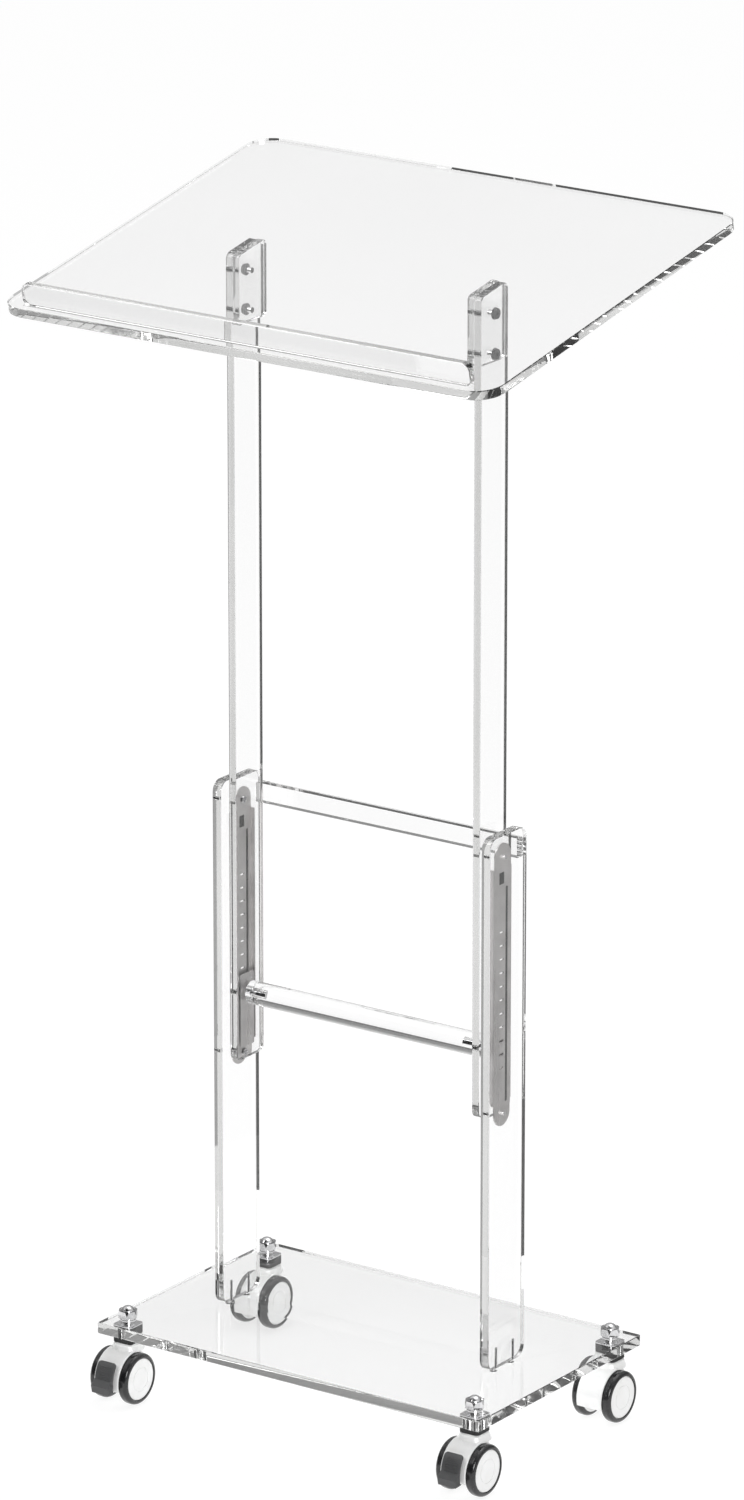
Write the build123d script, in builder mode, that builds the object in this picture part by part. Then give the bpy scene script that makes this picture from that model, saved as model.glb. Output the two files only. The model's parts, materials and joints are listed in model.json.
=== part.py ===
from build123d import *
import math
import os

os.makedirs("parts", exist_ok=True)

# Height-adjustable rolling lectern in clear acrylic. Millimetres, +Z up, the floor at Z = 0.
# The speaker stands at -Y, +X is the right-hand side, and the origin is under the middle of the desk.
SIDES = {"left": -1, "right": 1}

# Base plate and the column that stands on it
column_y = -4.0
base_width = 484.0
base_depth = 298.0
base_thickness = 12.0
base_top = 86.0
base_bottom = base_top - base_thickness
base_corner = 2.0
sheet_edge = 0.7

# Lower posts: outer pair, bonded crossbar between them at the back
lower_inner_x = 163.0
lower_thickness = 11.0
lower_depth = 66.0
lower_height = 576.0
lower_corner = 12.0
lower_mid_x = lower_inner_x + lower_thickness / 2
crossbar_front_y = 18.0
crossbar_depth = 11.0
crossbar_bottom = 628.0
crossbar_height = 21.0

# Upper posts: inner pair that slides with the desk
upper_inner_x = 148.0
upper_thickness = 9.0
upper_outer_x = upper_inner_x + upper_thickness
upper_depth = 48.0
upper_y = -7.0
upper_bottom = 358.0
upper_corner = 8.0

# Desk panel, paper stop and the brackets under the panel
desk_width = 600.0
desk_length = 460.0
desk_thickness = 10.0
desk_corner = 28.0
desk_mid_z = 1228.5
desk_tilt = 10.84
stop_width = 546.0
stop_height = 24.0
stop_thickness = 8.0
stop_corner = 8.0
stop_setback = 9.0
stop_groove = 0.6
stop_front = -desk_length / 2 + stop_setback
bracket_thickness = 8.0
bracket_bottom = 1145.0
bracket_corner = 6.0

# Ratchet lifter between each pair of posts
rail_y = -7.0
rail_width = 31.0
rail_gauge = 1.5
rail_bottom = 374.0
rail_top = 625.0
rail_flange = 5.4
ear_radius = 14.0
ear_low_z = 361.0
ear_high_z = 637.0
slot_y = 0.0
slot_width = 3.6
slot_bottom = 372.0
slot_top = 604.0
notch_y = -8.5
notch_width = 7.0
notch_height = 2.4
notch_pitch = 14.6
notch_count = 11
notch_first_z = 410.0
window_y = -9.0
window_z = 614.0
window_width = 8.5
window_height = 12.5
slide_width = 24.0
slide_gauge = 1.5
slide_bottom = 369.0
slide_top = 449.0
slide_corner = 2.0
guide_pin_radius = 1.5
guide_pin_gap = 0.4
guide_pin_heights = (378.0, 442.0)

# Rod between the upper posts, and its bolts
rod_diameter = 25.0
rod_z = 429.0
rod_edge = 1.0
rod_washer_diameter = 18.0
rod_washer_thickness = 1.2
bolt_diameter = 6.0
bolt_head_diameter = 10.0
bolt_head_height = 2.4
bolt_head_taper = 12.0
bolt_reach = 34.0

# Pawl of the ratchet: a tongue on a cross pin, its tip pointing up at the notches
pawl_pivot_x = 160.0
pawl_pivot_z = 391.0
pawl_width = 6.0
pawl_gauge = 1.0
pawl_tip_z = 410.95
pawl_hook_height = 1.9
pawl_hook_x = 161.2
pawl_knuckle_radius = 1.2
pawl_pin_diameter = 1.2
pawl_pin_bore = 1.3
pawl_lug_width = 1.5
pawl_lug_height = 3.0
pawl_side_gap = 0.5

# Screws
wood_screw_diameter = 4.0
foot_screw_length = 34.0
foot_screw_spacing = 31.0
countersink_diameter = 8.0
countersink_depth = 2.2
rail_screw_length = 9.5
rail_screw_head = 9.0
rail_screw_head_height = 2.2
rail_screw_taper = 18.0
bracket_screw_head = 12.5
bracket_screw_head_height = 3.4
bracket_screw_taper = 14.0
bracket_screw_reach = 15.0
bracket_screw_heights = (1155.5, 1197.0)
recess_width = 1.1
recess_depth = 1.2
hex_sides = 6
hex_recess_radius = 2.2

# Casters: a threaded stem through the base, a hood that swivels on it, and twin wheels
stem_x = 220.0
stem_y = 124.0
stem_diameter = 10.0
stem_pin_diameter = 8.0
stem_pin_bottom = 49.0
stem_top = base_top + 14.0
stem_pin_clearance = 0.1
stem_flange_thickness = 1.0
pad_side = 24.0
pad_thickness = 9.5
pad_corner = 4.0
washer_diameter = 17.0
washer_thickness = 1.5
spring_washer_diameter = 15.5
spring_washer_thickness = 2.2
nut_across_flats = 19.0
nut_hex_height = 7.5
nut_chamfer_angle = 24.0
nut_dome_radius = 8.3
nut_collar_height = 0.6
trail = 10.0
wheel_radius = 27.5
tyre_bore_radius = 22.8
wheel_inner_x = 12.0
wheel_width = 12.0
tyre_round = 4.2
axle_diameter = 6.0
axle_clearance = 0.1
hub_recess = 0.8
hub_round = 1.5
hub_wall = 2.6
hub_ring_radius = 13.0
hub_ring_width = 0.8
hub_ring_depth = 0.4
hood_half_width = 11.0
hood_radius = 29.7
fender_half_width = 15.3
fender_inner_radius = 28.2
fender_back_y = 12.0
fender_round = 1.0
hood_cut_z = 19.5
hood_top = 63.2
neck_top_radius = 14.5
neck_bottom_radius = 17.5
neck_bottom = 55.6
neck_round = 4.0
pedal_half_width = 11.4
pedal_inner_radius = 32.0
pedal_outer_radius = 34.5
pedal_start_angle = 138.0
pedal_flare_angle = 172.0
pedal_toe_angle = 181.0
pedal_end_angle = 194.0
pedal_toe_radius = 41.5
pedal_round = 1.0
pedal_corner = 4.0
pedal_pin_angle = 143.0
pedal_pin_radius = 30.9
pedal_pin_diameter = 2.0
pedal_knuckle_radius = 2.0
pedal_knuckle_half_width = 4.0
pedal_gap = 0.4
pedal_ear_width = 3.0
rib_radius = 0.45
rib_half_width = 7.0
rib_spacing_angle = 3.0
rib_group_count = 4
rib_group_angles = (148.0, 162.0)

axle_z = wheel_radius
pad_top = base_bottom - stem_flange_thickness
pad_bottom = pad_top - pad_thickness
desk_slope = math.radians(desk_tilt)
desk_plane = Plane(origin=(0, 0, desk_mid_z), x_dir=(1, 0, 0),
                   z_dir=(0, -math.sin(desk_slope), math.cos(desk_slope)))
CASTERS = {
    "front_left": (-stem_x, column_y - stem_y),
    "front_right": (stem_x, column_y - stem_y),
    "rear_left": (-stem_x, column_y + stem_y),
    "rear_right": (stem_x, column_y + stem_y),
}
BRAKED = ("front_left", "front_right")
stems = list(CASTERS.values())
foot_ys = (column_y - foot_screw_spacing / 2, column_y + foot_screw_spacing / 2)
foot_points = [(side * lower_mid_x, y) for side in SIDES.values() for y in foot_ys]
ear_points = [(rail_y, ear_low_z), (rail_y, ear_high_z)]
bracket_points = [(upper_y, z) for z in bracket_screw_heights]
guide_points = [(slot_y, z) for z in guide_pin_heights]


def keep(builder, label):
    """Name the finished piece and write its STEP file."""
    builder.part.label = label
    export_step(builder.part, f"parts/{label}.step")


def underside(y):
    """Height of the desk panel's lower face at y."""
    return desk_mid_z + y * math.tan(desk_slope) - desk_thickness / 2 / math.cos(desk_slope)


def polar(radius, degrees):
    """Point of the caster's side view, measured from the wheel axle."""
    angle = math.radians(degrees)
    return (radius * math.cos(angle), radius * math.sin(angle))


# ---------------------------------------------------------------- base and lower frame

def make_base():
    with BuildPart() as base:
        with BuildSketch(Plane.XY.offset(base_bottom)):
            with Locations((0, column_y)):
                RectangleRounded(base_width, base_depth, base_corner)
        extrude(amount=base_thickness)
        rims = base.faces().sort_by(Axis.Z)[0].edges() + base.faces().sort_by(Axis.Z)[-1].edges()
        chamfer(rims, sheet_edge)
        with Locations(*[(x, y, base_top) for x, y in stems]):
            Hole(stem_diameter / 2, base_thickness)
        with Locations(*[Location((x, y, base_bottom), (180, 0, 0)) for x, y in foot_points]):
            CounterSinkHole(wood_screw_diameter / 2, countersink_diameter / 2, base_thickness)
    keep(base, "base_plate")


def make_lower_post(name, side):
    with BuildPart() as post:
        with BuildSketch(Plane.YZ.offset(side * lower_inner_x)) as outline:
            with Locations((column_y, base_top + lower_height / 2)):
                Rectangle(lower_depth, lower_height)
            fillet(outline.vertices().group_by(Axis.Z)[-1], lower_corner)
        extrude(amount=side * lower_thickness)
        chamfer(post.faces().sort_by(Axis.X)[0].edges(), sheet_edge)
        chamfer(post.faces().sort_by(Axis.X)[-1].edges(), sheet_edge)
        with Locations(*[(side * lower_mid_x, y, base_top) for y in foot_ys]):
            Cylinder(wood_screw_diameter / 2, foot_screw_length - base_thickness, mode=Mode.SUBTRACT,
                     align=(Align.CENTER, Align.CENTER, Align.MIN))
        with BuildSketch(Plane.YZ.offset(side * lower_inner_x)):
            with Locations(*ear_points):
                Circle(wood_screw_diameter / 2)
        extrude(amount=side * (rail_screw_length - rail_gauge), mode=Mode.SUBTRACT)
    keep(post, f"lower_post_{name}")


def make_foot_screws():
    shank = wood_screw_diameter / 2
    with BuildPart() as screws:
        with BuildSketch(Plane.XY.offset(base_bottom)):
            with Locations(*foot_points):
                Circle(shank)
        extrude(amount=foot_screw_length)
        with Locations(*[(x, y, base_bottom) for x, y in foot_points]):
            Cone(countersink_diameter / 2, shank, countersink_depth,
                 align=(Align.CENTER, Align.CENTER, Align.MIN))
        with BuildSketch(Plane.XY.offset(base_bottom)):
            with Locations(*foot_points):
                Rectangle(countersink_diameter / 2, recess_width)
                Rectangle(recess_width, countersink_diameter / 2)
        extrude(amount=recess_depth, mode=Mode.SUBTRACT)
    keep(screws, "post_foot_screws")


def make_crossbar():
    with BuildPart() as bar:
        with BuildSketch(Plane.YZ.offset(-lower_inner_x)):
            with Locations((crossbar_front_y + crossbar_depth / 2, crossbar_bottom + crossbar_height / 2)):
                Rectangle(crossbar_depth, crossbar_height)
        extrude(amount=2 * lower_inner_x)
        chamfer(bar.edges().filter_by(Axis.X), sheet_edge)
    keep(bar, "upper_crossbar")


# ---------------------------------------------------------------- ratchet lifters

def make_rail(name, side):
    web_plane = Plane.YZ.offset(side * lower_inner_x)
    mid_z = (rail_bottom + rail_top) / 2
    slot_mid = (slot_bottom + slot_top) / 2
    notch_mid = notch_first_z + notch_pitch * (notch_count - 1) / 2
    with BuildPart() as rail:
        with BuildSketch(web_plane):
            with Locations((rail_y, mid_z)):
                Rectangle(rail_width, rail_top - rail_bottom)
            with Locations((rail_y, (ear_low_z + ear_high_z) / 2)):
                SlotCenterToCenter(ear_high_z - ear_low_z, 2 * ear_radius, rotation=90)
            with Locations(*ear_points):
                Circle(wood_screw_diameter / 2, mode=Mode.SUBTRACT)
            with Locations((slot_y, slot_mid)):
                SlotOverall(slot_top - slot_bottom, slot_width, rotation=90, mode=Mode.SUBTRACT)
            with Locations((notch_y, notch_mid)):
                with GridLocations(0, notch_pitch, 1, notch_count):
                    Rectangle(notch_width, notch_height, mode=Mode.SUBTRACT)
            with Locations((window_y, window_z)):
                Rectangle(window_width, window_height, mode=Mode.SUBTRACT)
        extrude(amount=-side * rail_gauge)
        with BuildSketch(web_plane):
            with Locations((rail_y, mid_z)):
                with GridLocations(rail_width - rail_gauge, 0, 2, 1):
                    Rectangle(rail_gauge, rail_top - rail_bottom)
        extrude(amount=-side * rail_flange)
    keep(rail, f"ratchet_rail_{name}")


def make_rail_screws():
    with BuildPart() as screws:
        for side in SIDES.values():
            seat = Plane.YZ.offset(side * (lower_inner_x - rail_gauge))
            with BuildSketch(seat):
                with Locations(*ear_points):
                    Circle(wood_screw_diameter / 2)
            extrude(amount=side * rail_screw_length)
            with BuildSketch(seat):
                with Locations(*ear_points):
                    Circle(rail_screw_head / 2)
            extrude(amount=-side * rail_screw_head_height, taper=rail_screw_taper)
            with BuildSketch(seat.offset(-side * rail_screw_head_height)):
                with Locations(*ear_points):
                    Rectangle(rail_screw_head / 2, recess_width)
                    Rectangle(recess_width, rail_screw_head / 2)
            extrude(amount=side * recess_depth, mode=Mode.SUBTRACT)
    keep(screws, "rail_screws")


def make_slide(name, side):
    face = Plane.YZ.offset(side * upper_outer_x)
    lug_offset = (pawl_width + pawl_lug_width) / 2 + pawl_side_gap
    lug_reach = pawl_hook_x - upper_outer_x
    with BuildPart() as slide:
        with BuildSketch(face):
            with Locations((rail_y, (slide_bottom + slide_top) / 2)):
                RectangleRounded(slide_width, slide_top - slide_bottom, slide_corner)
            with Locations((upper_y, rod_z)):
                Circle(bolt_diameter / 2, mode=Mode.SUBTRACT)
            with Locations(*guide_points):
                Circle(guide_pin_radius, mode=Mode.SUBTRACT)
        extrude(amount=side * slide_gauge)
        with BuildSketch(face):
            with Locations((notch_y - lug_offset, pawl_pivot_z), (notch_y + lug_offset, pawl_pivot_z)):
                Rectangle(pawl_lug_width, pawl_lug_height)
        extrude(amount=side * lug_reach)
        with BuildSketch(Plane.XZ.offset(-(notch_y + 2 * lug_offset))):
            with Locations((side * pawl_pivot_x, pawl_pivot_z)):
                Circle(pawl_pin_diameter / 2)
        extrude(amount=4 * lug_offset, mode=Mode.SUBTRACT)
    keep(slide, f"slide_plate_{name}")


def make_guide_pins():
    with BuildPart() as pins:
        for side in SIDES.values():
            with BuildSketch(Plane.YZ.offset(side * upper_outer_x)):
                with Locations(*guide_points):
                    Circle(guide_pin_radius)
            extrude(amount=side * (lower_inner_x - upper_outer_x - guide_pin_gap))
    keep(pins, "slide_guide_pins")


def make_pawl(name, side):
    with BuildPart() as pawl:
        with BuildSketch(Plane.XZ.offset(-notch_y)) as profile:
            with Locations((side * pawl_pivot_x, (pawl_pivot_z + pawl_tip_z) / 2)):
                Rectangle(pawl_gauge, pawl_tip_z - pawl_pivot_z)
            hook = pawl_hook_x - pawl_pivot_x
            with Locations((side * (pawl_pivot_x + hook / 2), pawl_tip_z - pawl_hook_height / 2)):
                Rectangle(hook, pawl_hook_height)
            with Locations((side * pawl_pivot_x, pawl_pivot_z)):
                Circle(pawl_knuckle_radius)
                Circle(pawl_pin_bore / 2, mode=Mode.SUBTRACT)
        extrude(amount=pawl_width / 2, both=True)
    keep(pawl, f"ratchet_pawl_{name}")


def make_pawl_pins():
    length = pawl_width + 2 * (pawl_lug_width + pawl_side_gap)
    with BuildPart() as pins:
        with BuildSketch(Plane.XZ.offset(-notch_y)):
            with Locations((-pawl_pivot_x, pawl_pivot_z), (pawl_pivot_x, pawl_pivot_z)):
                Circle(pawl_pin_diameter / 2)
        extrude(amount=length / 2, both=True)
    keep(pins, "pawl_pins")


# ---------------------------------------------------------------- upper frame and desk

def make_upper_post(name, side):
    front = upper_y - upper_depth / 2
    back = upper_y + upper_depth / 2
    with BuildPart() as post:
        with BuildSketch(Plane.YZ.offset(side * upper_inner_x)) as outline:
            with BuildLine():
                Polyline((front, upper_bottom), (back, upper_bottom), (back, underside(back)),
                         (front, underside(front)), close=True)
            make_face()
            fillet(outline.vertices().group_by(Axis.Z)[0], upper_corner)
        extrude(amount=side * upper_thickness)
        chamfer(post.faces().sort_by(Axis.X)[0].edges(), sheet_edge)
        chamfer(post.faces().sort_by(Axis.X)[-1].edges(), sheet_edge)
        with BuildSketch(Plane.YZ.offset(side * upper_inner_x)):
            with Locations((upper_y, rod_z), *bracket_points):
                Circle(bolt_diameter / 2)
        extrude(amount=side * upper_thickness, mode=Mode.SUBTRACT)
    keep(post, f"upper_post_{name}")


def make_rod():
    half = upper_inner_x - rod_washer_thickness
    with BuildPart() as rod:
        with BuildSketch(Plane.YZ.offset(-half)):
            with Locations((upper_y, rod_z)):
                Circle(rod_diameter / 2)
        extrude(amount=2 * half)
        chamfer(rod.edges().filter_by(GeomType.CIRCLE), rod_edge)
        for side in SIDES.values():
            with BuildSketch(Plane.YZ.offset(side * half)):
                with Locations((upper_y, rod_z)):
                    Circle(bolt_diameter / 2)
            extrude(amount=-side * (half - upper_outer_x - slide_gauge + bolt_reach), mode=Mode.SUBTRACT)
    keep(rod, "lower_crossbar_rod")


def make_rod_washers():
    with BuildPart() as washers:
        for side in SIDES.values():
            with BuildSketch(Plane.YZ.offset(side * upper_inner_x)):
                with Locations((upper_y, rod_z)):
                    Circle(rod_washer_diameter / 2)
                    Circle(bolt_diameter / 2, mode=Mode.SUBTRACT)
            extrude(amount=-side * rod_washer_thickness)
    keep(washers, "rod_washers")


def make_rod_bolts():
    with BuildPart() as bolts:
        for side in SIDES.values():
            seat = Plane.YZ.offset(side * (upper_outer_x + slide_gauge))
            with BuildSketch(seat):
                with Locations((upper_y, rod_z)):
                    Circle(bolt_diameter / 2)
            extrude(amount=-side * bolt_reach)
            with BuildSketch(seat):
                with Locations((upper_y, rod_z)):
                    Circle(bolt_head_diameter / 2)
            extrude(amount=side * bolt_head_height, taper=bolt_head_taper)
            with BuildSketch(seat.offset(side * bolt_head_height)):
                with Locations((upper_y, rod_z)):
                    RegularPolygon(hex_recess_radius, hex_sides)
            extrude(amount=-side * recess_depth, mode=Mode.SUBTRACT)
    keep(bolts, "rod_bolts")


def make_desk():
    with BuildPart() as desk:
        with BuildSketch(desk_plane):
            RectangleRounded(desk_width, desk_length, desk_corner)
        extrude(amount=desk_thickness / 2, both=True)
        broad = desk.faces().filter_by(Axis(desk_plane.origin, desk_plane.z_dir))
        chamfer(broad.edges(), sheet_edge)
        with BuildSketch(desk_plane.offset(desk_thickness / 2)):
            with Locations((0, stop_front + stop_thickness / 2)):
                Rectangle(stop_width, stop_thickness)
        extrude(amount=-stop_groove, mode=Mode.SUBTRACT)
    keep(desk, "desk_panel")


def make_paper_stop():
    across = Plane(origin=desk_plane.from_local_coords((0, stop_front + stop_thickness, desk_thickness / 2)),
                   x_dir=(1, 0, 0), z_dir=-desk_plane.y_dir)
    with BuildPart() as stop:
        with BuildSketch(across) as outline:
            with Locations((0, (stop_height - stop_groove) / 2)):
                Rectangle(stop_width, stop_height + stop_groove)
            fillet(outline.vertices().group_by(Axis.Z)[-1], stop_corner)
        extrude(amount=stop_thickness)
        rims = stop.faces().filter_by(Axis(desk_plane.origin, desk_plane.y_dir)).edges()
        chamfer(rims.filter_by(lambda rim: across.to_local_coords(rim.center()).Y > 0), sheet_edge)
    keep(stop, "paper_stop")


def make_bracket(name, side):
    front = upper_y - upper_depth / 2
    back = upper_y + upper_depth / 2
    with BuildPart() as bracket:
        with BuildSketch(Plane.YZ.offset(side * upper_inner_x)) as outline:
            with BuildLine():
                Polyline((front, bracket_bottom), (back, bracket_bottom), (back, underside(back)),
                         (front, underside(front)), close=True)
            make_face()
            fillet(outline.vertices().group_by(Axis.Z)[0], bracket_corner)
        extrude(amount=-side * bracket_thickness)
        chamfer(bracket.faces().sort_by(Axis.X)[0].edges(), sheet_edge)
        chamfer(bracket.faces().sort_by(Axis.X)[-1].edges(), sheet_edge)
        with BuildSketch(Plane.YZ.offset(side * upper_inner_x)):
            with Locations(*bracket_points):
                Circle(bolt_diameter / 2)
        extrude(amount=-side * (bracket_screw_reach - upper_thickness), mode=Mode.SUBTRACT)
    keep(bracket, f"desk_bracket_{name}")


def make_bracket_screws():
    with BuildPart() as screws:
        for side in SIDES.values():
            seat = Plane.YZ.offset(side * upper_outer_x)
            with BuildSketch(seat):
                with Locations(*bracket_points):
                    Circle(bolt_diameter / 2)
            extrude(amount=-side * bracket_screw_reach)
            with BuildSketch(seat):
                with Locations(*bracket_points):
                    Circle(bracket_screw_head / 2)
            extrude(amount=side * bracket_screw_head_height, taper=bracket_screw_taper)
            with BuildSketch(seat.offset(side * bracket_screw_head_height)):
                with Locations(*bracket_points):
                    RegularPolygon(hex_recess_radius, hex_sides)
            extrude(amount=-side * recess_depth, mode=Mode.SUBTRACT)
    keep(screws, "bracket_screws")


# ---------------------------------------------------------------- casters

def make_stems():
    with BuildPart() as stem_group:
        with BuildSketch(Plane.XY.offset(pad_bottom)):
            with Locations(*stems):
                Circle(stem_diameter / 2)
        extrude(amount=stem_top - pad_bottom)
        with BuildSketch(Plane.XY.offset(pad_top)):
            with Locations(*stems):
                RectangleRounded(pad_side, pad_side, pad_corner)
        extrude(amount=stem_flange_thickness)
        with BuildSketch(Plane.XY.offset(stem_pin_bottom)):
            with Locations(*stems):
                Circle(stem_pin_diameter / 2)
        extrude(amount=pad_bottom - stem_pin_bottom)
    keep(stem_group, "caster_stems")


def make_pads():
    with BuildPart() as pads:
        with BuildSketch(Plane.XY.offset(pad_bottom)):
            with Locations(*stems):
                RectangleRounded(pad_side, pad_side, pad_corner)
                Circle(stem_diameter / 2, mode=Mode.SUBTRACT)
        extrude(amount=pad_thickness)
    keep(pads, "caster_pads")


def make_washers():
    with BuildPart() as washers:
        with BuildSketch(Plane.XY.offset(base_top)):
            with Locations(*stems):
                Circle(washer_diameter / 2)
                Circle(stem_diameter / 2, mode=Mode.SUBTRACT)
        extrude(amount=washer_thickness)
    keep(washers, "stem_washers")
    with BuildPart() as rings:
        with BuildSketch(Plane.XY.offset(base_top + washer_thickness)):
            with Locations(*stems):
                Circle(spring_washer_diameter / 2)
                Circle(stem_diameter / 2, mode=Mode.SUBTRACT)
        extrude(amount=spring_washer_thickness)
    keep(rings, "stem_spring_washers")


def make_cap_nuts():
    seat = base_top + washer_thickness + spring_washer_thickness
    corner_radius = nut_across_flats / math.sqrt(3)
    dome_z = seat + nut_hex_height + nut_collar_height
    with BuildPart() as nuts:
        with BuildSketch(Plane.XY.offset(seat)):
            with Locations(*stems):
                RegularPolygon(corner_radius, hex_sides)
        extrude(amount=nut_hex_height)
        with BuildSketch(Plane.XY.offset(seat)):
            with Locations(*stems):
                Circle(corner_radius + nut_collar_height)
        extrude(amount=nut_hex_height, taper=nut_chamfer_angle / 2, mode=Mode.INTERSECT)
        with BuildSketch(Plane.XY.offset(seat + nut_hex_height)):
            with Locations(*stems):
                Circle(nut_dome_radius)
        extrude(amount=nut_collar_height)
        with Locations(*[(x, y, dome_z) for x, y in stems]):
            Sphere(nut_dome_radius, arc_size1=0, arc_size2=90)
        with BuildSketch(Plane.XY.offset(seat)):
            with Locations(*stems):
                Circle(stem_diameter / 2)
        extrude(amount=stem_top - seat, mode=Mode.SUBTRACT)
    keep(nuts, "cap_nuts")


def caster_plane(x, y):
    """Side view of a caster: local x along +Y, local y up, origin on the wheel axle."""
    return Plane(origin=(x, y - trail, axle_z), x_dir=(0, 1, 0), z_dir=(1, 0, 0))


def make_hood(name, x, y):
    view = caster_plane(x, y)
    pin = polar(pedal_pin_radius, pedal_pin_angle)
    below = (0, hood_cut_z - axle_z)
    with BuildPart() as hood:
        with BuildSketch(view):
            Circle(hood_radius)
            with Locations(below):
                Rectangle(3 * hood_radius, hood_radius, align=(Align.CENTER, Align.MAX), mode=Mode.SUBTRACT)
        extrude(amount=hood_half_width, both=True)
        with BuildSketch(view):
            Circle(hood_radius)
            Circle(fender_inner_radius, mode=Mode.SUBTRACT)
            with Locations(below):
                Rectangle(3 * hood_radius, hood_radius, align=(Align.CENTER, Align.MAX), mode=Mode.SUBTRACT)
            with Locations((fender_back_y, 0)):
                Rectangle(hood_radius, 3 * hood_radius, align=(Align.MIN, Align.CENTER), mode=Mode.SUBTRACT)
        extrude(amount=fender_half_width, both=True)
        sides = hood.faces().sort_by(Axis.X)
        outer = (sides[0].edges() + sides[-1].edges()).filter_by(GeomType.CIRCLE).group_by(SortBy.RADIUS)[-1]
        fillet(outer, fender_round)
        with Locations((x, y, neck_bottom)):
            Cone(neck_bottom_radius, neck_top_radius, hood_top - neck_bottom,
                 align=(Align.CENTER, Align.CENTER, Align.MIN))
        fillet(hood.faces().sort_by(Axis.Z)[-1].edges(), neck_round)
        with Locations((x, y, stem_pin_bottom - pedal_gap)):
            Cylinder((stem_pin_diameter + stem_pin_clearance) / 2, hood_top, mode=Mode.SUBTRACT,
                     align=(Align.CENTER, Align.CENTER, Align.MIN))
        with BuildSketch(view):
            Circle(axle_diameter / 2)
        extrude(amount=hood_half_width, both=True, mode=Mode.SUBTRACT)
        if name in BRAKED:
            slot_half_width = pedal_knuckle_half_width + pedal_gap
            with BuildSketch(view):
                with Locations(pin):
                    Circle(pedal_knuckle_radius)
            extrude(amount=slot_half_width + pedal_ear_width, both=True)
            with BuildSketch(view):
                with Locations(pin):
                    Circle(pedal_knuckle_radius + pedal_gap)
            extrude(amount=slot_half_width, both=True, mode=Mode.SUBTRACT)
            with BuildSketch(view):
                with Locations(pin):
                    Circle(pedal_pin_diameter / 2)
            extrude(amount=slot_half_width, both=True)
    keep(hood, f"caster_hood_{name}")


def make_axle(name, x, y):
    reach = wheel_inner_x + wheel_width - hub_recess - hub_wall - pedal_gap
    with BuildPart() as axle:
        with BuildSketch(caster_plane(x, y)):
            Circle(axle_diameter / 2)
        extrude(amount=reach, both=True)
    keep(axle, f"caster_axle_{name}")


def make_wheel(name, x, y, side):
    inner = caster_plane(x, y).offset(side * wheel_inner_x)
    cap_width = wheel_width - hub_recess
    hand = "l" if side < 0 else "r"
    with BuildPart() as tyre:
        with BuildSketch(inner):
            Circle(wheel_radius)
            Circle(tyre_bore_radius, mode=Mode.SUBTRACT)
        extrude(amount=side * wheel_width)
        fillet(tyre.edges().filter_by(GeomType.CIRCLE).group_by(SortBy.RADIUS)[-1], tyre_round)
    keep(tyre, f"tyre_{name}_{hand}")
    with BuildPart() as hub:
        with BuildSketch(inner):
            Circle(tyre_bore_radius)
        extrude(amount=side * cap_width)
        fillet(hub.faces().sort_by(Axis.X)[-1 if side > 0 else 0].edges(), hub_round)
        with BuildSketch(inner.offset(side * cap_width)):
            Circle(hub_ring_radius)
            Circle(hub_ring_radius - hub_ring_width, mode=Mode.SUBTRACT)
        extrude(amount=-side * hub_ring_depth, mode=Mode.SUBTRACT)
        with BuildSketch(inner):
            Circle((axle_diameter + axle_clearance) / 2)
        extrude(amount=side * (cap_width - hub_wall), mode=Mode.SUBTRACT)
    keep(hub, f"hub_{name}_{hand}")


def make_pedal(name, x, y):
    view = caster_plane(x, y)
    pin = polar(pedal_pin_radius, pedal_pin_angle)
    arc_mid = (pedal_start_angle + pedal_flare_angle) / 2
    inner_mid = (pedal_start_angle + pedal_end_angle) / 2
    start_out = polar(pedal_outer_radius, pedal_start_angle)
    start_in = polar(pedal_inner_radius, pedal_start_angle)
    flare = polar(pedal_outer_radius, pedal_flare_angle)
    toe = polar(pedal_toe_radius, pedal_toe_angle)
    toe_end = polar(pedal_toe_radius - pedal_round, pedal_end_angle - pedal_round)
    end_in = polar(pedal_inner_radius, pedal_end_angle)
    with BuildPart() as pedal:
        with BuildSketch(view):
            with BuildLine():
                ThreePointArc(start_out, polar(pedal_outer_radius, arc_mid), flare)
                Polyline(flare, toe, toe_end, end_in)
                ThreePointArc(end_in, polar(pedal_inner_radius, inner_mid), start_in)
                Line(start_in, start_out)
            make_face()
        extrude(amount=pedal_half_width, both=True)
        fillet(pedal.faces().sort_by(Axis.Z)[-1].edges().filter_by(Axis.X, reverse=True), pedal_corner)
        sides = pedal.faces().sort_by(Axis.X)
        fillet(sides[0].edges() + sides[-1].edges(), pedal_round)
        with BuildSketch(view):
            with Locations(pin):
                Circle(pedal_knuckle_radius)
        extrude(amount=pedal_knuckle_half_width, both=True)
        with BuildSketch(view):
            with Locations(pin):
                Circle((pedal_pin_diameter + axle_clearance) / 2)
        extrude(amount=pedal_knuckle_half_width, both=True, mode=Mode.SUBTRACT)
        for side in SIDES.values():
            with BuildSketch(view.offset(side * pedal_knuckle_half_width)):
                with Locations(pin):
                    Circle(pedal_knuckle_radius + pedal_gap)
            extrude(amount=side * (pedal_ear_width + 2 * pedal_gap), mode=Mode.SUBTRACT)
        with BuildSketch(view):
            for start in rib_group_angles:
                for index in range(rib_group_count):
                    with Locations(polar(pedal_outer_radius, start + index * rib_spacing_angle)):
                        Circle(rib_radius)
        extrude(amount=rib_half_width, both=True)
    keep(pedal, f"brake_pedal_{name}")


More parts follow.
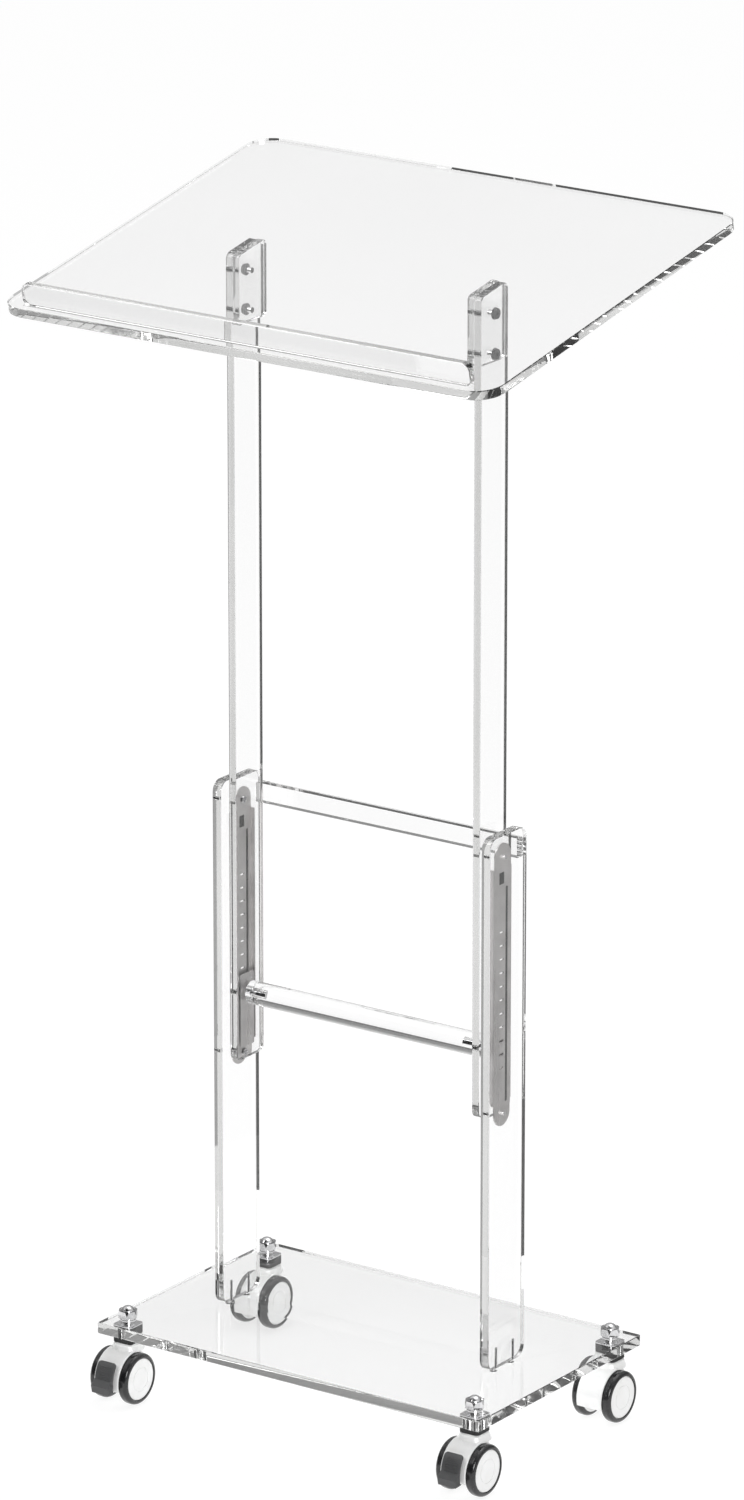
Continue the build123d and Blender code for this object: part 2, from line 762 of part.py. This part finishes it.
make_base()
make_foot_screws()
make_crossbar()
make_rail_screws()
make_guide_pins()
make_pawl_pins()
make_rod()
make_rod_washers()
make_rod_bolts()
make_desk()
make_paper_stop()
make_bracket_screws()
for side_name, side_sign in SIDES.items():
    make_lower_post(side_name, side_sign)
    make_upper_post(side_name, side_sign)
    make_rail(side_name, side_sign)
    make_slide(side_name, side_sign)
    make_pawl(side_name, side_sign)
    make_bracket(side_name, side_sign)
make_stems()
make_pads()
make_washers()
make_cap_nuts()
for corner, (stem_at_x, stem_at_y) in CASTERS.items():
    make_hood(corner, stem_at_x, stem_at_y)
    make_axle(corner, stem_at_x, stem_at_y)
    for wheel_side in (-1, 1):
        make_wheel(corner, stem_at_x, stem_at_y, wheel_side)
for corner in BRAKED:
    make_pedal(corner, *CASTERS[corner])
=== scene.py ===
import json
import math

import bmesh
import bpy
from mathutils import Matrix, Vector


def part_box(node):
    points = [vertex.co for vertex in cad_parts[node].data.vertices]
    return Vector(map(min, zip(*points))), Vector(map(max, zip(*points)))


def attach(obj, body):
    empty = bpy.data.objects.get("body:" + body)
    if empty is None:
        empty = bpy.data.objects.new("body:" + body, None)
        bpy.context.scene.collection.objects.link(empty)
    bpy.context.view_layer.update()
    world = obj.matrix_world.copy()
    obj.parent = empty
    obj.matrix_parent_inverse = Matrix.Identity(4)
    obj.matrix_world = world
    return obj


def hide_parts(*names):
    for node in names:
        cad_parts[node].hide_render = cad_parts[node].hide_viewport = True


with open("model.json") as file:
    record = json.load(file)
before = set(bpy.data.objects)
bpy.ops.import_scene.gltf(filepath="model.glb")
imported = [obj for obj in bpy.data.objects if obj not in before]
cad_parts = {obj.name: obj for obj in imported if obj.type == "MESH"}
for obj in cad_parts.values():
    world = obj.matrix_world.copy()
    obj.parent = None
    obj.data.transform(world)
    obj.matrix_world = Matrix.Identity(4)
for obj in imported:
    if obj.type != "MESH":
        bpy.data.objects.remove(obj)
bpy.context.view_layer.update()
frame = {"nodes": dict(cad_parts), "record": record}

MM = 0.001
BOUNCES = 48  # light is turned many times inside the polished edges before it comes out


def add_object(name, data):
    made = bpy.data.objects.new(name, data)
    bpy.context.scene.collection.objects.link(made)
    return made


# ------------------------------------------------------------------ camera

CAMERA_PLACE = (4.964, -7.037, 3.431)
CAMERA_AZIMUTH = math.radians(35.19)
CAMERA_TILT = math.radians(17.49)
CAMERA_LENS = 212.1
CAMERA_REACH = 200
SENSOR = 36.0


def make_camera():
    data = bpy.data.cameras.new("camera")
    data.sensor_width = SENSOR
    data.lens = CAMERA_LENS
    data.clip_end = CAMERA_REACH
    camera = add_object("camera", data)
    camera.location = CAMERA_PLACE
    camera.rotation_euler = (math.pi / 2 - CAMERA_TILT, 0, CAMERA_AZIMUTH)
    bpy.context.scene.camera = camera


# ------------------------------------------------------------------ materials

COLOUR_STOPS = (0.35, 0.65)
ACRYLIC_IOR = 1.49
ACRYLIC_SHADOW = (0.93, 0.94, 0.94, 1)
COAT_ROUGHNESS = 0.06


class Graph:
    """A new node material, with short calls for the nodes it needs."""

    def __init__(self, name):
        self.material = bpy.data.materials.new(name)
        self.material.use_nodes = True
        self.tree = self.material.node_tree
        self.tree.nodes.clear()
        self.output = self.tree.nodes.new("ShaderNodeOutputMaterial")
        self.shader = self.tree.nodes.new("ShaderNodeBsdfPrincipled")
        self.tree.links.new(self.shader.outputs[0], self.output.inputs["Surface"])
        self.place = self.tree.nodes.new("ShaderNodeTexCoord").outputs["Object"]

    def link(self, source, target):
        self.tree.links.new(source, target)

    def stretched(self, scale):
        mapping = self.tree.nodes.new("ShaderNodeMapping")
        mapping.inputs["Scale"].default_value = scale
        self.link(self.place, mapping.inputs["Vector"])
        return mapping.outputs["Vector"]

    def noise(self, scale, detail, stretch=None):
        node = self.tree.nodes.new("ShaderNodeTexNoise")
        node.inputs["Scale"].default_value = scale
        node.inputs["Detail"].default_value = detail
        self.link(self.stretched(stretch) if stretch else self.place, node.inputs["Vector"])
        return node.outputs["Fac"]

    def ranged(self, value, low, high, start=0.3, end=0.7):
        node = self.tree.nodes.new("ShaderNodeMapRange")
        for name, number in (("From Min", start), ("From Max", end), ("To Min", low), ("To Max", high)):
            node.inputs[name].default_value = number
        self.link(value, node.inputs["Value"])
        return node.outputs["Result"]

    def colours(self, value, low, high):
        ramp = self.tree.nodes.new("ShaderNodeValToRGB")
        for stop, place, colour in zip(ramp.color_ramp.elements, COLOUR_STOPS, (low, high)):
            stop.position = place
            stop.color = (*colour, 1)
        self.link(value, ramp.inputs["Fac"])
        return ramp.outputs["Color"]

    def bump(self, height, distance, strength):
        node = self.tree.nodes.new("ShaderNodeBump")
        node.inputs["Strength"].default_value = strength
        node.inputs["Distance"].default_value = distance
        self.link(height, node.inputs["Height"])
        self.link(node.outputs["Normal"], self.shader.inputs["Normal"])


def ray_switch(tree, kind):
    """1 for rays of this kind, and 0 for all others."""
    return tree.nodes.new("ShaderNodeLightPath").outputs[f"Is {kind} Ray"]


def mix_shaders(tree, switch, usual, switched, target):
    mix = tree.nodes.new("ShaderNodeMixShader")
    for socket, source in enumerate((switch, usual, switched)):
        tree.links.new(source, mix.inputs[socket])
    tree.links.new(mix.outputs[0], target)


def clear_acrylic(name, dim, bright):
    """Polished acrylic that bends light, with faint wisps in its tint and smears in its gloss."""
    graph = Graph(name)
    shader = graph.shader.inputs
    shader["Transmission Weight"].default_value = 1.0
    shader["IOR"].default_value = ACRYLIC_IOR
    wisps = graph.noise(scale=4.0, detail=4.0)
    graph.link(graph.colours(wisps, dim, bright), shader["Base Color"])
    smears = graph.noise(scale=9.0, detail=5.0, stretch=(1.0, 1.0, 0.35))
    graph.link(graph.ranged(smears, low=0.0, high=0.03, start=0.5, end=0.8), shader["Roughness"])
    see_through = graph.tree.nodes.new("ShaderNodeBsdfTransparent")
    see_through.inputs["Color"].default_value = ACRYLIC_SHADOW
    mix_shaders(graph.tree, ray_switch(graph.tree, "Shadow"), graph.shader.outputs[0],
                see_through.outputs[0], graph.output.inputs["Surface"])
    return graph.material


def satin_steel():
    graph = Graph("satin_steel")
    shader = graph.shader.inputs
    shader["Metallic"].default_value = 1.0
    grain = graph.noise(scale=260.0, detail=4.0, stretch=(1.0, 1.0, 0.04))
    clouds = graph.noise(scale=35.0, detail=3.0)
    graph.link(graph.colours(clouds, (0.52, 0.505, 0.50), (0.64, 0.625, 0.62)), shader["Base Color"])
    graph.link(graph.ranged(grain, low=0.26, high=0.42), shader["Roughness"])
    graph.bump(grain, distance=0.06 * MM, strength=0.5)
    return graph.material


def chrome():
    graph = Graph("chrome_hardware")
    shader = graph.shader.inputs
    shader["Metallic"].default_value = 1.0
    wear = graph.noise(scale=190.0, detail=4.0)
    graph.link(graph.colours(wear, (0.62, 0.62, 0.63), (0.76, 0.76, 0.77)), shader["Base Color"])
    graph.link(graph.ranged(wear, low=0.04, high=0.14), shader["Roughness"])
    graph.bump(graph.noise(scale=60.0, detail=2.0), distance=0.04 * MM, strength=0.4)
    return graph.material


def black_oxide():
    graph = Graph("dark_screws")
    shader = graph.shader.inputs
    shader["Metallic"].default_value = 0.8
    wear = graph.noise(scale=420.0, detail=4.0)
    graph.link(graph.colours(wear, (0.035, 0.035, 0.037), (0.11, 0.11, 0.11)), shader["Base Color"])
    graph.link(graph.ranged(wear, low=0.28, high=0.5), shader["Roughness"])
    graph.bump(wear, distance=0.05 * MM, strength=0.5)
    return graph.material


def plastic(name, dark, light, rough, grain, depth, coat=0.0):
    """Moulded plastic or rubber: mottled colour, uneven gloss and the mould's fine texture."""
    graph = Graph(name)
    shader = graph.shader.inputs
    texture = graph.noise(grain, detail=4.0)
    mottles = graph.noise(scale=45.0, detail=3.0)
    graph.link(graph.colours(mottles, dark, light), shader["Base Color"])
    graph.link(graph.ranged(texture, *rough), shader["Roughness"])
    shader["Coat Weight"].default_value = coat
    shader["Coat Roughness"].default_value = COAT_ROUGHNESS
    graph.bump(texture, depth, strength=0.6)
    return graph.material


def make_materials():
    return {
        "clear_acrylic": clear_acrylic("clear_acrylic", (0.985, 0.985, 0.985), (0.995, 0.995, 0.995)),
        # grey tint for narrow faces: painted shade standing in for the dark refractions in polished
        # edges; its mottling is random tone
        "painted_shade_edge": clear_acrylic("clear_acrylic_cut_edge", (0.62, 0.62, 0.615), (0.73, 0.73, 0.725)),
        "satin_steel": satin_steel(),
        "chrome_hardware": chrome(),
        "dark_screws": black_oxide(),
        "black_rubber": plastic("black_rubber", (0.012, 0.012, 0.012), (0.03, 0.03, 0.03),
                                rough=(0.5, 0.75), grain=900.0, depth=0.1 * MM),
        "black_tyre": plastic("black_tyre", (0.009, 0.009, 0.010), (0.02, 0.02, 0.021),
                              rough=(0.16, 0.3), grain=700.0, depth=0.04 * MM, coat=0.3),
        "white_plastic": plastic("white_plastic", (0.86, 0.86, 0.85), (0.91, 0.91, 0.91),
                                 rough=(0.12, 0.22), grain=500.0, depth=0.02 * MM, coat=0.5),
        "grey_plastic": plastic("grey_plastic", (0.055, 0.056, 0.058), (0.075, 0.076, 0.078),
                                rough=(0.36, 0.52), grain=1400.0, depth=0.08 * MM),
    }


# ------------------------------------------------------------------ the CAD's pieces

AIR_GAP = 0.04 * MM
WELD = 0.001 * MM
SHARP = math.radians(28)
SAME_WAY_COSINE = 0.999
BROAD_SHARE = 0.72
BROAD_COSINE = 0.9


def body_of_node(node):
    bodies = frame["record"]["behaviour"]["bodies"]
    return next(body for body, nodes in bodies.items() if node in nodes)


def unsigned_way(face):
    return tuple(round(abs(part), 2) for part in face.normal)


def broad_direction(shape):
    """The normal of a sheet's broad faces, or None on a piece whose faces look many ways."""
    areas = {}
    for face in shape.faces:
        way = unsigned_way(face)
        areas[way] = areas.get(way, 0) + face.calc_area()
    broad, area = max(areas.items(), key=lambda item: item[1])
    if area < BROAD_SHARE * sum(areas.values()):
        return None
    return next(face.normal.copy() for face in shape.faces if unsigned_way(face) == broad)


def inward(vertex):
    """The step that moves a vertex AIR_GAP inside each of the flat faces that meet there."""
    normals = []
    for face in vertex.link_faces:
        if all(face.normal.dot(other) < SAME_WAY_COSINE for other in normals):
            normals.append(face.normal.copy())
    step = Vector()
    for normal in normals:
        if step.dot(normal) > -AIR_GAP:
            step -= normal * (AIR_GAP + step.dot(normal))
    return step


def polished_sheet(node, slot, materials):
    """A clear piece with welded, smooth-shaded faces, a hair smaller than its solid.

    The hair of air keeps its faces off the screws and sheets that it touches, so that light bends
    at every face. A sheet's narrow faces get a greyer tint: painted shade for the dark refractions seen
    in its edges."""
    shape = bmesh.new()
    shape.from_mesh(frame["nodes"][node].data)
    bmesh.ops.remove_doubles(shape, verts=shape.verts, dist=WELD)
    shape.normal_update()
    broad = broad_direction(shape)
    for face in shape.faces:
        # narrow faces take the grey-tinted material, painted shade on the edges
        face.material_index = int(broad is not None and abs(face.normal.dot(broad)) < BROAD_COSINE)
    for vertex, step in [(vertex, inward(vertex)) for vertex in shape.verts]:
        vertex.co += step
    mesh = bpy.data.meshes.new(f"clear_{node}")
    shape.to_mesh(mesh)
    shape.free()
    # the CAD's own corner normals would bend what is seen through the flat faces
    if "custom_normal" in mesh.attributes:
        mesh.attributes.remove(mesh.attributes["custom_normal"])
    mesh.polygons.foreach_set("use_smooth", [True] * len(mesh.polygons))
    mesh.set_sharp_from_angle(angle=SHARP)
    mesh.materials.append(materials[slot])
    if broad is not None:
        mesh.materials.append(materials["painted_shade_edge"])
    piece = add_object(f"clear_{node}", mesh)
    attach(piece, body_of_node(node))
    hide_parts(node)


def dress(materials):
    """Clear sheet is remade as polished pieces, and every other CAD node gets its slot's material."""
    for part in frame["record"]["subparts"]:
        node, slot = part["node"], part["material_slot"]
        if slot == "clear_acrylic":
            polished_sheet(node, slot, materials)
            continue
        mesh = frame["nodes"][node].data
        mesh.materials.clear()
        mesh.materials.append(materials[slot])


# ------------------------------------------------------------------ painted shade behind the rails' holes

# thickness of the black strips that are painted shade behind the rails' holes
SHADE_FILM = 0.03 * MM
SLOT_SIZE = (3.6 * MM, 232 * MM)
SLOT_FROM_EAR = 25 * MM
SLOT_OFFSET = 7 * MM
WINDOW_SIZE = (8.5 * MM, 12.5 * MM)
WINDOW_FROM_TOP = 37 * MM
WINDOW_OFFSET = -2 * MM
WINDOW_CORNER = 0.2 * MM
ARC_STEPS = 8


def strip_outline(size, radius):
    """Points of an upright strip with round corners, about its own middle."""
    width, height = size
    points = []
    for quarter, (sign_y, sign_z) in enumerate(((1, 1), (-1, 1), (-1, -1), (1, -1))):
        for step in range(ARC_STEPS + 1):
            angle = math.pi / 2 * (quarter + step / ARC_STEPS)
            points.append((sign_y * (width / 2 - radius) + radius * math.cos(angle),
                           sign_z * (height / 2 - radius) + radius * math.sin(angle)))
    return points


def shade_strip(name, outline, x, middle, material):
    """A thin black strip behind a hole of the rail, against the post's face: painted shade that makes
    the hole look dark.
    """
    count = len(outline)
    corners = [(x + face * SHADE_FILM, middle[0] + y, middle[1] + z) for face in (0, 1) for y, z in outline]
    faces = [tuple(range(count)), tuple(range(2 * count - 1, count - 1, -1))]
    faces += [(i, i + count, (i + 1) % count + count, (i + 1) % count) for i in range(count)]
    mesh = bpy.data.meshes.new(name)
    mesh.from_pydata(corners, [], faces)
    mesh.materials.append(material)
    piece = add_object(name, mesh)
    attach(piece, "base")


def shade_rail_holes(material):
    # black strips behind each rail's slot and window are painted shade that darkens the holes
    slot_outline = strip_outline(SLOT_SIZE, SLOT_SIZE[0] / 2)
    window_outline = strip_outline(WINDOW_SIZE, WINDOW_CORNER)
    for side, sign in (("left", -1), ("right", 1)):
        low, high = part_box(f"ratchet_rail_{side}")
        middle_y = (low[1] + high[1]) / 2
        x = high[0] if sign > 0 else low[0] - SHADE_FILM
        slot_middle = (middle_y + SLOT_OFFSET, low[2] + SLOT_FROM_EAR + SLOT_SIZE[1] / 2)
        window_middle = (middle_y + WINDOW_OFFSET, high[2] - WINDOW_FROM_TOP)
        shade_strip(f"slot_painted_shade_{side}", slot_outline, x, slot_middle, material)
        shade_strip(f"window_painted_shade_{side}", window_outline, x, window_middle, material)


# ------------------------------------------------------------------ stage

FLOOR_SIZE = (80, 80)
FLOOR_DROP = 0.5 * MM
FLOOR_GREY = 0.2
FLOOR_GLOW_SEEN = 0.87
FLOOR_GLOW_BEHIND = 0.90
CARD_GREY = 0.02
MOTTLE = 0.985
CARDS = (  # name, size, glow, place, turn
    ("black_card", (0.62, 1.15), 0.0, (-0.30, -0.45, 0.577), (math.pi / 2, 0, 0)),
    ("grey_card", (2.7, 3.6), 0.5, (1.6, 2.05, 0.001), (0, 0, 0)),
)
LAMPS = (  # name, place, target, size, watts
    ("key", (-2.6, -3.2, 4.4), (0, 0, 0.7), (2.2, 2.2), 70),
    ("fill", (4.0, -3.5, 2.2), (0, 0, 0.3), (2.0, 2.0), 110),
    ("top", (0.4, 1.2, 5.0), (0, 0, 0.4), (3.0, 3.0), 50),
)
SKY_BY_HEIGHT = ((0.0, 0.20), (0.3, 0.27), (0.55, 0.58), (0.85, 0.95))
SKY_FRONT_TO_BACK = ((0.0, 0.12), (0.3, 0.16), (0.42, 0.7), (0.55, 1.0))


def stage_graph(name, grey, glow=0.0):
    """A dull, faintly mottled grey that can glow white."""
    graph = Graph(name)
    shader = graph.shader.inputs
    mottles = graph.noise(scale=2.0, detail=3.0)
    graph.link(graph.colours(mottles, (grey * MOTTLE,) * 3, (grey,) * 3), shader["Base Color"])
    shader["Roughness"].default_value = 0.9
    shader["Specular IOR Level"].default_value = 0.1
    shader["Emission Color"].default_value = (1, 1, 1, 1)
    shader["Emission Strength"].default_value = glow
    return graph


def plane(name, size, material):
    mesh = bpy.data.meshes.new(name)
    half_x, half_y = size[0] / 2, size[1] / 2
    corners = [(-half_x, -half_y, 0), (half_x, -half_y, 0), (half_x, half_y, 0), (-half_x, half_y, 0)]
    mesh.from_pydata(corners, [], [(0, 1, 2, 3)])
    mesh.materials.append(material)
    sheet = add_object(name, mesh)
    return sheet


def make_floor():
    """A glowing white floor, a little brighter behind clear sheet, whose own reflections dim it."""
    graph = stage_graph("studio_floor", FLOOR_GREY)
    glow = graph.ranged(ray_switch(graph.tree, "Camera"), FLOOR_GLOW_BEHIND, FLOOR_GLOW_SEEN,
                        start=0.0, end=1.0)
    graph.link(glow, graph.shader.inputs["Emission Strength"])
    plane("floor", FLOOR_SIZE, graph.material).location.z = -FLOOR_DROP


def hidden_card(name, size, glow, place, turn):
    """A studio card for reflections and refractions only: it darkens the lines in polished edges."""
    card = plane(name, size, stage_graph(name, CARD_GREY, glow).material)
    card.location = place
    card.rotation_euler = turn
    card.visible_camera = False
    card.visible_diffuse = False
    card.visible_shadow = False


def area_light(name, place, target, size, watts):
    data = bpy.data.lights.new(name, "AREA")
    data.shape = "RECTANGLE"
    data.size, data.size_y = size
    data.energy = watts
    light = add_object(name, data)
    light.location = place
    light.rotation_euler = (Vector(target) - Vector(place)).to_track_quat("-Z", "Y").to_euler()


def grey_ramp(tree, value, stops):
    ramp = tree.nodes.new("ShaderNodeValToRGB")
    elements = ramp.color_ramp.elements
    while len(elements) < len(stops):
        elements.new(0.5)
    for stop, (place, level) in zip(elements, stops):
        stop.position = place
        stop.color = (level, level, level, 1)
    tree.links.new(value, ramp.inputs["Fac"])
    return ramp.outputs["Color"]


def sky_colour(tree):
    """White overhead and behind the lectern, dimmer towards the horizon and the front."""
    split = tree.nodes.new("ShaderNodeSeparateXYZ")
    tree.links.new(tree.nodes.new("ShaderNodeTexCoord").outputs["Generated"], split.inputs[0])
    front_to_back = tree.nodes.new("ShaderNodeMath")
    front_to_back.operation = "MULTIPLY_ADD"
    front_to_back.inputs[1].default_value = front_to_back.inputs[2].default_value = 0.5
    tree.links.new(split.outputs["Y"], front_to_back.inputs[0])
    product = tree.nodes.new("ShaderNodeVectorMath")
    product.operation = "MULTIPLY"
    tree.links.new(grey_ramp(tree, split.outputs["Z"], SKY_BY_HEIGHT), product.inputs[0])
    tree.links.new(grey_ramp(tree, front_to_back.outputs[0], SKY_FRONT_TO_BACK), product.inputs[1])
    return product.outputs[0]


def make_world():
    """The sky that lights the lectern, with plain white in its place for the camera's own rays."""
    world = bpy.data.worlds.new("studio")
    world.use_nodes = True
    tree = world.node_tree
    background = tree.nodes["Background"]
    tree.links.new(sky_colour(tree), background.inputs["Color"])
    plain = tree.nodes.new("ShaderNodeBackground")
    plain.inputs["Color"].default_value = (1, 1, 1, 1)
    mix_shaders(tree, ray_switch(tree, "Camera"), background.outputs[0], plain.outputs[0],
                tree.nodes["World Output"].inputs["Surface"])
    bpy.context.scene.world = world


def make_stage():
    make_world()
    make_floor()
    for lamp in LAMPS:
        area_light(*lamp)
    for card in CARDS:
        hidden_card(*card)


def set_look():
    scene = bpy.context.scene
    scene.view_settings.view_transform = "Standard"
    scene.cycles.max_bounces = BOUNCES
    scene.cycles.transmission_bounces = BOUNCES
    scene.cycles.glossy_bounces = BOUNCES


set_look()
make_camera()
make_stage()
palette = make_materials()
dress(palette)
# black strips behind the rails' holes: painted shade
shade_rail_holes(palette["black_rubber"])
